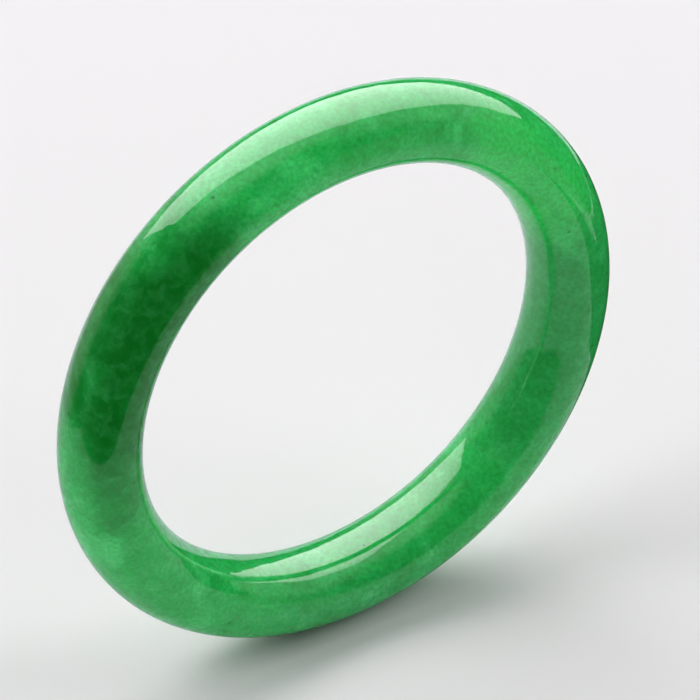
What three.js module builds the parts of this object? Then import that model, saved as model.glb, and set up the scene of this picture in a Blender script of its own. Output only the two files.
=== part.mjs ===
// A jade bangle: one closed ring of stone, round in the bar and polished all over.
// Millimetres, +Z up. The ring stands on edge like a wheel, its axis along Y, and touches the ground
// at the origin.
import * as THREE from 'three';

// Driving dimensions.
const innerDiameter = 56; // the hole, at its narrowest
const barThickness = 9.8; // from the hole to the outside
const barWidth = 10.7; // along the ring's axis
const insideFlattening = 0.07; // makes the bar a little flatter towards the hole than outside

// How finely the ring is faceted. A multiple of four puts a facet square to the axis on each side.
const facetsRoundBar = 24;
const facetsRoundRing = 96;

// The bar's outline is given by how far each tangent to it lies from the bar's centre. The angle is
// that of the tangent's outward normal, and 0 points away from the ring's axis.
const meanRadius = (barThickness + barWidth) / 4;
const ovalness = (barWidth - barThickness) / 4;
const centreRadius = innerDiameter / 2 + barThickness / 2 - insideFlattening;

function tangentDistance(angle) {
  return meanRadius - ovalness * Math.cos(2 * angle) + insideFlattening * Math.cos(3 * angle);
}

// The corner where the tangents at two neighbouring angles cross.
function barCorner(angle, nextAngle) {
  const distance = tangentDistance(angle);
  const nextDistance = tangentDistance(nextAngle);
  const turn = Math.sin(nextAngle - angle);
  const outward = (distance * Math.sin(nextAngle) - nextDistance * Math.sin(angle)) / turn;
  const alongAxis = (nextDistance * Math.cos(angle) - distance * Math.cos(nextAngle)) / turn;
  return new THREE.Vector2(centreRadius + outward, alongAxis);
}

function barOutline() {
  const step = (2 * Math.PI) / facetsRoundBar;
  const corners = [];
  for (let i = 0; i < facetsRoundBar; i += 1) {
    corners.push(barCorner(i * step, (i + 1) * step));
  }
  corners.push(corners[0].clone());
  return corners;
}

// The lathe turns about Y. Starting half a step round puts a facet, not a corner, on the ground.
const outline = barOutline();
const halfStep = Math.PI / facetsRoundRing;
const standHeight = outline[0].x * Math.cos(halfStep);

const jadeBangle = new THREE.Mesh(
  new THREE.LatheGeometry(outline, facetsRoundRing, halfStep),
  new THREE.MeshStandardMaterial({ color: 0x1f8f4a, roughness: 0.08, metalness: 0 })
);
jadeBangle.name = 'jade_bangle';
jadeBangle.position.z = standHeight;

const bangle = new THREE.Group();
bangle.add(jadeBangle);

export default bangle;
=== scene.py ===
# A jade bangle standing on edge on a pale table. One large softbox hangs above and behind it, and soft
# fills light the rest.
# Metres, +Z up. The ring's axis is Y and it touches the ground at the origin.
import math

import bpy
from mathutils import Matrix, Vector


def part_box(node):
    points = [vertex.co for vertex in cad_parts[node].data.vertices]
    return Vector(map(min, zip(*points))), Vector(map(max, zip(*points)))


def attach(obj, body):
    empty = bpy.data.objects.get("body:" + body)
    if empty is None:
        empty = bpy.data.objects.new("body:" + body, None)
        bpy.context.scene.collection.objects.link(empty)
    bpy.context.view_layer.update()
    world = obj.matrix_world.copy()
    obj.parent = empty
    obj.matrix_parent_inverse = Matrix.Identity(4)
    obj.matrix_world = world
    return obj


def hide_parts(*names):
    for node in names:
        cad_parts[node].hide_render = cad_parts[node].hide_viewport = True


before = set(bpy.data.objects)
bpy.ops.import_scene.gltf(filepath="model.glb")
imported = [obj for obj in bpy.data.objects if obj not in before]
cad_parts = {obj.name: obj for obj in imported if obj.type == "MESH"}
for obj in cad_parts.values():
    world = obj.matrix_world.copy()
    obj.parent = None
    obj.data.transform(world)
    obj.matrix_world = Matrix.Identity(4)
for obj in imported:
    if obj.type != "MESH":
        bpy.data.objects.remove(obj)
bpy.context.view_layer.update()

print("frame loaded")

scene = bpy.context.scene
scene.view_settings.view_transform = "Standard"  # keeps the strong greens and the near-white table

ringLow, ringHigh = (Vector(corner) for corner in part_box("jade_bangle"))
ringCentre = (ringLow + ringHigh) / 2
ringRadius = (ringHigh.x - ringLow.x) / 2
barWidth = ringHigh.y - ringLow.y


# A long lens from the front left, looking down.
cameraSettings = {
    "azimuth": -32.6,  # degrees, 0 looks along +Y
    "elevation": 37.6,
    "distance": 0.855,
    "lens": 371.8,  # mm on a 36 mm sensor, a long lens so the ring keeps its proportions
    "aimRight": 0.00147,  # the ring sits a little left of the middle and below it
    "aimUp": 0.00138,
}


def makeCamera(settings):
    azimuth = math.radians(settings["azimuth"])
    elevation = math.radians(settings["elevation"])
    right = Vector((math.cos(azimuth), math.sin(azimuth), 0))
    back = Vector((
        math.sin(azimuth) * math.cos(elevation),
        -math.cos(azimuth) * math.cos(elevation),
        math.sin(elevation),
    ))
    up = back.cross(right)
    data = bpy.data.cameras.new("camera")
    data.sensor_width = 36
    data.lens = settings["lens"]
    camera = bpy.data.objects.new("camera", data)
    aim = ringCentre + right * settings["aimRight"] + up * settings["aimUp"]
    camera.location = aim + back * settings["distance"]
    camera.rotation_mode = "QUATERNION"
    camera.rotation_quaternion = back.to_track_quat("Z", "Y")
    scene.collection.objects.link(camera)
    scene.camera = camera


makeCamera(cameraSettings)
print("camera placed")


def direction(turn, rise):
    # a unit vector, from degrees round from +Y towards +X and degrees above the horizon
    turn, rise = math.radians(turn), math.radians(rise)
    return Vector((math.sin(turn) * math.cos(rise), math.cos(turn) * math.cos(rise), math.sin(rise)))


def linkMesh(name, points, faces):
    data = bpy.data.meshes.new(name)
    data.from_pydata(points, [], faces)
    data.update()
    made = bpy.data.objects.new(name, data)
    scene.collection.objects.link(made)
    return made


def startMaterial(name):
    material = bpy.data.materials.new(name)
    material.use_nodes = True
    tree = material.node_tree
    tree.nodes.clear()
    shader = tree.nodes.new("ShaderNodeBsdfPrincipled")
    output = tree.nodes.new("ShaderNodeOutputMaterial")
    tree.links.new(shader.outputs["BSDF"], output.inputs["Surface"])
    return material, tree, shader


# The stone itself: one closed ring with an oval bar.
bangle = {
    "holeRadius": 0.028,
    "insideFlattening": 0.00007,  # the bar is a little flatter towards the hole than outside
    "stepsRoundRing": 400,
    "stepsRoundBar": 72,
}


def barPoint(angle, holeRadius, insideFlattening):
    # The outline's tangent facing along the angle lies this far from the bar's centre.
    barThickness = ringRadius - holeRadius
    meanRadius = (barThickness + barWidth) / 4
    ovalness = (barWidth - barThickness) / 4
    centreRadius = holeRadius + barThickness / 2 - insideFlattening
    distance = (
        meanRadius
        - ovalness * math.cos(2 * angle)
        + insideFlattening * math.cos(3 * angle)
    )
    slope = 2 * ovalness * math.sin(2 * angle) - 3 * insideFlattening * math.sin(3 * angle)
    outward = distance * math.cos(angle) - slope * math.sin(angle)
    alongAxis = distance * math.sin(angle) + slope * math.cos(angle)
    return centreRadius + outward, alongAxis


def makeBangle(settings):
    roundRing, roundBar = settings["stepsRoundRing"], settings["stepsRoundBar"]
    outline = [
        barPoint(math.tau * j / roundBar, settings["holeRadius"], settings["insideFlattening"])
        for j in range(roundBar)
    ]
    points = []
    for i in range(roundRing):
        turn = math.tau * i / roundRing
        across, upward = math.cos(turn), math.sin(turn)
        for radius, alongAxis in outline:
            points.append(ringCentre + Vector((radius * across, -alongAxis, radius * upward)))
    faces = []
    for i in range(roundRing):
        near, far = i * roundBar, (i + 1) % roundRing * roundBar
        for j in range(roundBar):
            k = (j + 1) % roundBar
            faces.append((near + j, near + k, far + k, far + j))
    made = linkMesh("bangle", points, faces)
    made.data.shade_smooth()
    return made


def makeCloudGroup():
    # Soft clouds through the stone, from 0 to 1. From and To are the noise values that give those ends.
    group = bpy.data.node_groups.new("jadeCloud", "ShaderNodeTree")
    face = group.interface
    face.new_socket("Vector", in_out="INPUT", socket_type="NodeSocketVector")
    for name in ("Per Metre", "Detail", "Swirl", "From", "To"):
        face.new_socket(name, in_out="INPUT", socket_type="NodeSocketFloat")
    face.new_socket("Cloud", in_out="OUTPUT", socket_type="NodeSocketFloat")
    nodes, links = group.nodes, group.links
    entry = nodes.new("NodeGroupInput")
    leave = nodes.new("NodeGroupOutput")
    noise = nodes.new("ShaderNodeTexNoise")
    noise.inputs["Roughness"].default_value = 0.55  # the share of fine detail in each cloud
    spread = nodes.new("ShaderNodeMapRange")
    spread.interpolation_type = "SMOOTHSTEP"
    links.new(entry.outputs["Vector"], noise.inputs["Vector"])
    links.new(entry.outputs["Per Metre"], noise.inputs["Scale"])
    links.new(entry.outputs["Detail"], noise.inputs["Detail"])
    links.new(entry.outputs["Swirl"], noise.inputs["Distortion"])
    links.new(noise.outputs["Fac"], spread.inputs["Value"])
    links.new(entry.outputs["From"], spread.inputs["From Min"])
    links.new(entry.outputs["To"], spread.inputs["From Max"])
    links.new(spread.outputs["Result"], leave.inputs["Cloud"])
    return group


jade = {
    "main": (0.04, 0.5, 0.135),
    "soft": (0.03, 0.43, 0.1),  # broad, slightly darker clouds
    "deepShadeAndGrain": (0.002, 0.14, 0.01),  # partly painted shade on the left side turned from the softbox, partly the stone's deeper colour; also the fine grain's colour
    "duskyPaintedShade": (0.035, 0.33, 0.095),  # painted shade: a duller stretch on the right side, across from it
    "brightPaintedLight": (0.055, 0.6, 0.14),  # painted light: a lighter stretch above that, on the upper right where the softbox falls
    "vein": (0.004, 0.24, 0.03),  # small darker clouds
    "milky": (0.14, 0.72, 0.29),  # pale cottony wisps
    "speck": (0.004, 0.1, 0.03),
    "stretches": {  # painted light and shade round the ring, in degrees from +X to +Z: the middle, half the span, the softness
        # painted light: a lighter stretch on the upper right, facing the softbox
        "brightPaintedLight": (40, 18, 14),
        # painted shade: a duller stretch on the right side
        "duskyPaintedShade": (-12, 28, 14),
        # painted shade, partly the stone's own colour: the left side, turned from the softbox, darker and
        # deeper green
        "deepShadeAndGrain": (154, 32, 13),
    },
    "stretchStrength": 0.93,
    "raggedEdge": 0.19,
    "rimStart": 0.94,  # these stretches fade from this share of the ring's radius
    "paintedRimLight": 0.1,  # and this much is taken off them at its outer edge: painted rim light, the back light through the thin outer edge
    "clouds": {  # how many to a metre, detail, swirl, and the noise values that give 0 and 1
        "broad": (55, 3, 0.6, 0.35, 0.7),
        "wisps": (190, 6, 0.6, 0.5, 0.72),
        "mottle": (620, 5, 0.5, 0.4, 0.7),
        "veins": (260, 6, 0.8, 0.52, 0.72),
        "grain": (1900, 3, 0, 0.3, 0.7),
        "raggedness": (100, 4, 0.8, 0, 1),
        "wave": (210, 1, 0, 0, 1),
        "ripple": (420, 1, 0, 0, 1),
    },
    "wispStrength": 0.55,
    "mottleStrength": 0.12,
    "veinStrength": 0.3,
    "grainStrength": 0.32,
    "specks": {"perMetre": 330, "leftOut": 0.6, "edge": 0.11, "core": 0.03, "strength": 0.7},
    "lightTravel": (0.003, 0.022, 0.012),  # how far each colour of light goes in the stone
    "roughest": 0.055,
    "smoothest": 0.02,
    "waveDepth": 0.000028,  # metres, the unevenness left by hand polishing
    "rippleDepth": 0.000014,
    "grainDepth": 0.0000005,
    "ior": 1.66,
}


def makeJade(settings):
    material, tree, shader = startMaterial("jade")
    nodes, links = tree.nodes, tree.links
    place = nodes.new("ShaderNodeTexCoord").outputs["Object"]
    cloudGroup = makeCloudGroup()

    def cloud(name):
        perMetre, detail, swirl, start, end = settings["clouds"][name]
        node = nodes.new("ShaderNodeGroup")
        node.node_tree = cloudGroup
        links.new(place, node.inputs["Vector"])
        node.inputs["Per Metre"].default_value = perMetre
        node.inputs["Detail"].default_value = detail
        node.inputs["Swirl"].default_value = swirl
        node.inputs["From"].default_value = start
        node.inputs["To"].default_value = end
        return node.outputs["Cloud"]

    def connect(value, socket):
        if isinstance(value, bpy.types.NodeSocket):
            links.new(value, socket)
        elif isinstance(value, tuple):
            socket.default_value = (*value, 1)
        else:
            socket.default_value = value

    def calculate(operation, first, second):
        node = nodes.new("ShaderNodeMath")
        node.operation = operation
        connect(first, node.inputs[0])
        connect(second, node.inputs[1])
        return node.outputs["Value"]

    def vectorMath(operation, first, second=None):
        node = nodes.new("ShaderNodeVectorMath")
        node.operation = operation
        links.new(first, node.inputs[0])
        if second is not None:
            node.inputs[1].default_value = second
        return node

    def spread(value, start, end, low=0.0, high=1.0):
        node = nodes.new("ShaderNodeMapRange")
        node.interpolation_type = "SMOOTHSTEP"
        connect(value, node.inputs["Value"])
        node.inputs["From Min"].default_value = start
        node.inputs["From Max"].default_value = end
        node.inputs["To Min"].default_value = low
        node.inputs["To Max"].default_value = high
        return node.outputs["Result"]

    def blend(amount, first, second):
        node = nodes.new("ShaderNodeMix")
        node.data_type = "RGBA"
        connect(amount, node.inputs["Factor"])
        connect(first, node.inputs["A"])
        connect(second, node.inputs["B"])
        return node.outputs["Result"]

    # How near a point is to one direction round the ring, with a cloudy edge.
    def stretch(towards, halfSpan, softness):
        fromCentre = vectorMath("SUBTRACT", place, ringCentre).outputs["Vector"]
        outward = vectorMath("NORMALIZE", fromCentre).outputs["Vector"]
        turn = math.radians(towards)
        middle = (math.cos(turn), 0, math.sin(turn))
        along = vectorMath("DOT_PRODUCT", outward, middle).outputs["Value"]
        uneven = calculate("SUBTRACT", raggedness, 0.5)
        nearness = calculate("ADD", along, calculate("MULTIPLY", uneven, settings["raggedEdge"]))
        # painted rim light: the stretches are taken back near the outer edge, where back light comes
        # through the thin stone
        radius = vectorMath("LENGTH", fromCentre).outputs["Value"]
        rimLight = spread(radius, ringRadius * settings["rimStart"], ringRadius, 0, settings["paintedRimLight"])
        nearness = calculate("SUBTRACT", nearness, rimLight)
        start = math.cos(math.radians(halfSpan + softness))
        return spread(nearness, start, math.cos(math.radians(halfSpan - softness)))

    # Specks: some cells of a coarse pattern get one small dark dot each.
    def specks(dots):
        cells = nodes.new("ShaderNodeTexVoronoi")
        cells.inputs["Scale"].default_value = dots["perMetre"]
        links.new(place, cells.inputs["Vector"])
        pick = nodes.new("ShaderNodeSeparateColor")
        links.new(cells.outputs["Color"], pick.inputs["Color"])
        chosen = calculate("GREATER_THAN", pick.outputs["Red"], dots["leftOut"])
        dot = spread(cells.outputs["Distance"], dots["edge"], dots["core"])
        return calculate("MULTIPLY", calculate("MULTIPLY", chosen, dot), dots["strength"])

    def tint(colour, mask, strength, name):
        return blend(calculate("MULTIPLY", mask, strength), colour, settings[name])

    mottle, grain, raggedness = cloud("mottle"), cloud("grain"), cloud("raggedness")
    colour = blend(cloud("broad"), settings["main"], settings["soft"])
    colour = tint(colour, cloud("wisps"), settings["wispStrength"], "milky")
    # painted light and shade: the bright, dusky and deep stretches round the ring
    for name, shape in settings["stretches"].items():
        colour = tint(colour, stretch(*shape), settings["stretchStrength"], name)
    colour = tint(colour, mottle, settings["mottleStrength"], "milky")
    colour = tint(colour, cloud("veins"), settings["veinStrength"], "vein")
    colour = tint(colour, grain, settings["grainStrength"], "deepShadeAndGrain")
    colour = blend(specks(settings["specks"]), colour, settings["speck"])
    connect(colour, shader.inputs["Base Color"])
    polish = spread(mottle, 0, 1, settings["smoothest"], settings["roughest"])
    connect(polish, shader.inputs["Roughness"])

    surface = None
    for height, depth in (
        (cloud("wave"), settings["waveDepth"]),
        (cloud("ripple"), settings["rippleDepth"]),
        (grain, settings["grainDepth"]),
    ):
        bump = nodes.new("ShaderNodeBump")
        bump.inputs["Distance"].default_value = depth
        links.new(height, bump.inputs["Height"])
        if surface:
            links.new(surface, bump.inputs["Normal"])
        surface = bump.outputs["Normal"]
    links.new(surface, shader.inputs["Normal"])

    shader.inputs["IOR"].default_value = settings["ior"]
    shader.inputs["Subsurface Weight"].default_value = 1
    shader.inputs["Subsurface Radius"].default_value = settings["lightTravel"]
    shader.inputs["Subsurface Scale"].default_value = 1
    return material


bangleRing = makeBangle(bangle)
bangleRing.data.materials.append(makeJade(jade))
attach(bangleRing, "root")
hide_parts("jade_bangle")
print("bangle made")


viewTurn = math.radians(cameraSettings["azimuth"])
viewRight = Vector((math.cos(viewTurn), math.sin(viewTurn), 0))
viewAhead = Vector((-math.sin(viewTurn), math.cos(viewTurn), 0))

table = {
    "halfSize": 6.0,
    "shade": (0.85, 0.832, 0.848),
    "evenTo": 0.4,  # further out than this it fades into the pale backdrop
    "fadedAt": 1.0,
}
backdrop = (0.85, 0.85, 0.86)
paper = {  # the white sheet that the polish mirrors, square to the camera
    "left": -0.13,
    "right": 0.125,
    "front": -0.081,
    "back": 1.5,
    "lift": 0.0003,
    # painted shade: the sheet darkens towards its front edge as the softbox's light falls off
    "frontPaintedFalloff": 0.35,
    "backPaintedFalloff": 0.78,
    "tint": (0.94, 0.98, 1.08),  # a cool white
}
darkCard = {  # stands to the right of the ring, with a flat patch beside it, and darkens its right edge
    "centre": (0.062, 0.01),
    "width": 0.12,
    "height": 0.026,
    "shade": (0.01, 0.01, 0.01),
    "flat": {"left": 0.02, "right": 0.12, "front": 0.03, "back": 0.13, "lift": 0.0006},
}
softbox = {
    "towards": 38,  # degrees round from +Y towards +X
    "height": 46.8,  # degrees above the horizon
    "distance": 0.368,
    "roll": -6.0,
    "corners": [  # across and up, seen from the ring
        (-0.59, -0.235), (0.58, -0.235), (0.56, -0.11), (0.43, 0.04),
        (0.41, 0.19), (0.25, 0.4), (-0.59, 0.4),
    ],
    "hotSpot": (-0.1, 0.02),
    "middleBrightness": 5.0,
    "edgeBrightness": 2.5,
    "fallOff": 0.62,
    "lightShare": 0.83,  # how much of that brightness lights the stone and the table
    "lightDistance": 1.0,  # and from how far, which keeps the table even and its shadow crisp
}


def startMatte(name):
    material, tree, shader = startMaterial(name)
    shader.inputs["Roughness"].default_value = 0.9
    shader.inputs["Specular IOR Level"].default_value = 0
    return material, tree, shader


def mirroredOnly(card):
    # seen in the polish, and neither seen directly nor in the way of the light
    card.visible_camera = False
    card.visible_diffuse = False
    card.visible_shadow = False
    card.visible_transmission = False


def flatSheet(name, settings):
    # lies on the table, square to the camera
    left, right, front, back = (settings[side] for side in ("left", "right", "front", "back"))
    lift = Vector((0, 0, ringLow.z + settings["lift"]))
    sides = [(left, front), (right, front), (right, back), (left, back)]
    return linkMesh(name, [viewRight * r + viewAhead * a + lift for r, a in sides], [(0, 1, 2, 3)])


def paperMaterial():
    # Darkest at its front edge, and evenly pale from as far behind the ring as that edge is in front:
    # painted shade, the softbox's light falling off towards the front.
    material, tree, shader = startMatte("sheetPaper")
    nodes, links = tree.nodes, tree.links
    place = nodes.new("ShaderNodeTexCoord").outputs["Object"]
    ahead = nodes.new("ShaderNodeVectorMath")
    ahead.operation = "DOT_PRODUCT"
    ahead.inputs[1].default_value = viewAhead
    ramp = nodes.new("ShaderNodeMapRange")
    ramp.inputs["From Min"].default_value = paper["front"]
    ramp.inputs["From Max"].default_value = -paper["front"]
    ramp.inputs["To Min"].default_value = paper["frontPaintedFalloff"]
    ramp.inputs["To Max"].default_value = paper["backPaintedFalloff"]
    tint = nodes.new("ShaderNodeVectorMath")
    tint.operation = "SCALE"
    tint.inputs[0].default_value = paper["tint"]
    links.new(place, ahead.inputs[0])
    links.new(ahead.outputs["Value"], ramp.inputs["Value"])
    links.new(ramp.outputs["Result"], tint.inputs["Scale"])
    links.new(tint.outputs["Vector"], shader.inputs["Base Color"])
    return material


def tableMaterial():
    # Far from the ring the table glows like the backdrop, so that low views see no dark edge.
    material, tree, shader = startMatte("tablePaper")
    nodes, links = tree.nodes, tree.links
    place = nodes.new("ShaderNodeTexCoord").outputs["Object"]
    away = nodes.new("ShaderNodeVectorMath")
    away.operation = "LENGTH"
    fade = nodes.new("ShaderNodeMapRange")
    fade.interpolation_type = "SMOOTHSTEP"
    fade.inputs["From Min"].default_value = table["evenTo"]
    fade.inputs["From Max"].default_value = table["fadedAt"]
    shade = nodes.new("ShaderNodeMix")
    shade.data_type = "RGBA"
    shade.inputs["A"].default_value = (*table["shade"], 1)
    shade.inputs["B"].default_value = (0, 0, 0, 1)
    links.new(place, away.inputs[0])
    links.new(away.outputs["Value"], fade.inputs["Value"])
    links.new(fade.outputs["Result"], shade.inputs["Factor"])
    links.new(shade.outputs["Result"], shader.inputs["Base Color"])
    links.new(fade.outputs["Result"], shader.inputs["Emission Strength"])
    shader.inputs["Emission Color"].default_value = (*backdrop, 1)
    return material


def makeTable():
    half, ground = table["halfSize"], ringLow.z
    corners = [(-half, -half, ground), (half, -half, ground), (half, half, ground), (-half, half, ground)]
    top = linkMesh("table", corners, [(0, 1, 2, 3)])
    top.data.materials.append(tableMaterial())
    top.visible_glossy = False
    sheet = flatSheet("sheet", paper)
    sheet.data.materials.append(paperMaterial())
    mirroredOnly(sheet)


def makeDarkCard():
    x, y = darkCard["centre"]
    half, foot, head = darkCard["width"] / 2, ringLow.z, ringLow.z + darkCard["height"]
    corners = [(x, y - half, foot), (x, y + half, foot), (x, y + half, head), (x, y - half, head)]
    felt, tree, shader = startMatte("blackFelt")
    shader.inputs["Base Color"].default_value = (*darkCard["shade"], 1)
    upright = linkMesh("darkCard", corners, [(0, 1, 2, 3)])
    flat = flatSheet("darkCardFlat", darkCard["flat"])
    for card in (upright, flat):
        card.data.materials.append(felt)
        mirroredOnly(card)


def softboxMaterial(name, settings, share):
    material = bpy.data.materials.new(name)
    material.use_nodes = True
    nodes, links = material.node_tree.nodes, material.node_tree.links
    nodes.clear()
    place = nodes.new("ShaderNodeTexCoord").outputs["Object"]
    away = nodes.new("ShaderNodeVectorMath")
    away.operation = "DISTANCE"
    away.inputs[1].default_value = (*settings["hotSpot"], 0)
    fade = nodes.new("ShaderNodeMapRange")
    fade.interpolation_type = "SMOOTHSTEP"
    fade.inputs["From Max"].default_value = settings["fallOff"]
    fade.inputs["To Min"].default_value = settings["middleBrightness"] * share
    fade.inputs["To Max"].default_value = settings["edgeBrightness"] * share
    facing = nodes.new("ShaderNodeNewGeometry")
    front = nodes.new("ShaderNodeMath")
    front.operation = "SUBTRACT"
    front.inputs[0].default_value = 1
    lit = nodes.new("ShaderNodeMath")
    lit.operation = "MULTIPLY"
    glow = nodes.new("ShaderNodeEmission")
    output = nodes.new("ShaderNodeOutputMaterial")
    links.new(place, away.inputs[0])
    links.new(away.outputs["Value"], fade.inputs["Value"])
    links.new(facing.outputs["Backfacing"], front.inputs[1])
    links.new(fade.outputs["Result"], lit.inputs[0])
    links.new(front.outputs["Value"], lit.inputs[1])
    links.new(lit.outputs["Value"], glow.inputs["Strength"])
    links.new(glow.outputs["Emission"], output.inputs["Surface"])
    return material


def makeSoftbox(settings):
    outward = direction(settings["towards"], settings["height"])
    level = outward.cross(Vector((0, 0, 1))).normalized()
    rise = level.cross(outward)
    roll = math.radians(settings["roll"])
    across = level * math.cos(roll) + rise * math.sin(roll)
    upward = rise * math.cos(roll) - level * math.sin(roll)
    turn = Matrix((across, upward, across.cross(upward))).transposed().to_4x4()
    corners = [(x, y, 0) for x, y in settings["corners"]]

    # The same panel twice: one that only the polish mirrors, and a dimmer one that gives the light.
    for name, distance, share, mirrored in (
        ("softboxMirrored", settings["distance"], 1, True),
        ("softboxLight", settings["lightDistance"], settings["lightShare"], False),
    ):
        made = linkMesh(name, corners, [tuple(range(len(corners)))])
        made.data.materials.append(softboxMaterial(name, settings, share))
        made.matrix_world = Matrix.Translation(ringCentre + outward * distance) @ turn
        made.visible_camera = False
        made.visible_glossy = mirrored
        made.visible_diffuse = not mirrored
        made.visible_transmission = not mirrored
        made.visible_shadow = False


fills = {  # soft lights that the polish doesn't mirror
    "size": 0.9,
    "places": {  # right, ahead and up from the ring's foot, and brightness
        "fillLeft": (-0.8, -0.1, 0.75, 2.6),
        "fillRight": (0.75, 0.15, 0.7, 1.9),
        "fillFront": (-0.15, -0.95, 0.42, 0.5),
    },
}


def makeFills(settings):
    for name, (right, ahead, height, brightness) in settings["places"].items():
        data = bpy.data.lights.new(name, "AREA")
        data.shape = "SQUARE"
        data.size = settings["size"]
        data.energy = brightness * math.pi * settings["size"] ** 2
        made = bpy.data.objects.new(name, data)
        made.location = viewRight * right + viewAhead * ahead + Vector((0, 0, height))
        made.rotation_mode = "QUATERNION"
        made.rotation_quaternion = (made.location - ringCentre).to_track_quat("Z", "Y")
        made.visible_camera = False
        made.visible_glossy = False
        scene.collection.objects.link(made)


studio = {
    "dark": 0.015,
    "ambient": (0.04, 0.04, 0.04),
    "glowCore": 1 / 3,  # the share of each glow's half width that has its full brightness
    "glows": [  # towards and height in degrees, half width in degrees, brightness
        (0, 90, 45, 0.8),
        (108, 36, 42, 0.5),
        (138, -14, 30, 0.26),
        (-20, -2, 46, 0.45),
    ],
}


def makeWorld():
    # The polish mirrors a dark room with soft glows. The camera sees the pale backdrop instead.
    world = bpy.data.worlds.new("studio")
    scene.world = world
    world.use_nodes = True
    nodes, links = world.node_tree.nodes, world.node_tree.links
    nodes.clear()
    place = nodes.new("ShaderNodeTexCoord").outputs["Generated"]

    room = None
    for towards, height, halfWidth, brightness in studio["glows"]:
        core = halfWidth * studio["glowCore"]
        facing = nodes.new("ShaderNodeVectorMath")
        facing.operation = "DOT_PRODUCT"
        facing.inputs[1].default_value = direction(towards, height)
        glow = nodes.new("ShaderNodeMapRange")
        glow.interpolation_type = "SMOOTHSTEP"
        glow.inputs["From Min"].default_value = math.cos(math.radians(halfWidth))
        glow.inputs["From Max"].default_value = math.cos(math.radians(core))
        glow.inputs["To Max"].default_value = brightness
        add = nodes.new("ShaderNodeMath")
        add.operation = "ADD"
        add.inputs[1].default_value = studio["dark"]
        links.new(place, facing.inputs[0])
        links.new(facing.outputs["Value"], glow.inputs["Value"])
        links.new(glow.outputs["Result"], add.inputs[0])
        if room:
            links.new(room, add.inputs[1])
        room = add.outputs["Value"]
    path = nodes.new("ShaderNodeLightPath")

    def choose(rays, plain, special):
        mix = nodes.new("ShaderNodeMix")
        mix.data_type = "RGBA"
        links.new(path.outputs[rays], mix.inputs["Factor"])
        for value, socket in ((plain, mix.inputs["A"]), (special, mix.inputs["B"])):
            if isinstance(value, tuple):
                socket.default_value = (*value, 1)
            else:
                links.new(value, socket)
        return mix.outputs["Result"]

    lit = choose("Is Glossy Ray", studio["ambient"], room)
    lit = choose("Is Camera Ray", lit, backdrop)
    back = nodes.new("ShaderNodeBackground")
    output = nodes.new("ShaderNodeOutputWorld")
    links.new(lit, back.inputs["Color"])
    links.new(back.outputs["Background"], output.inputs["Surface"])


makeTable()
makeDarkCard()
makeSoftbox(softbox)
makeFills(fills)
makeWorld()
print("table and studio made")
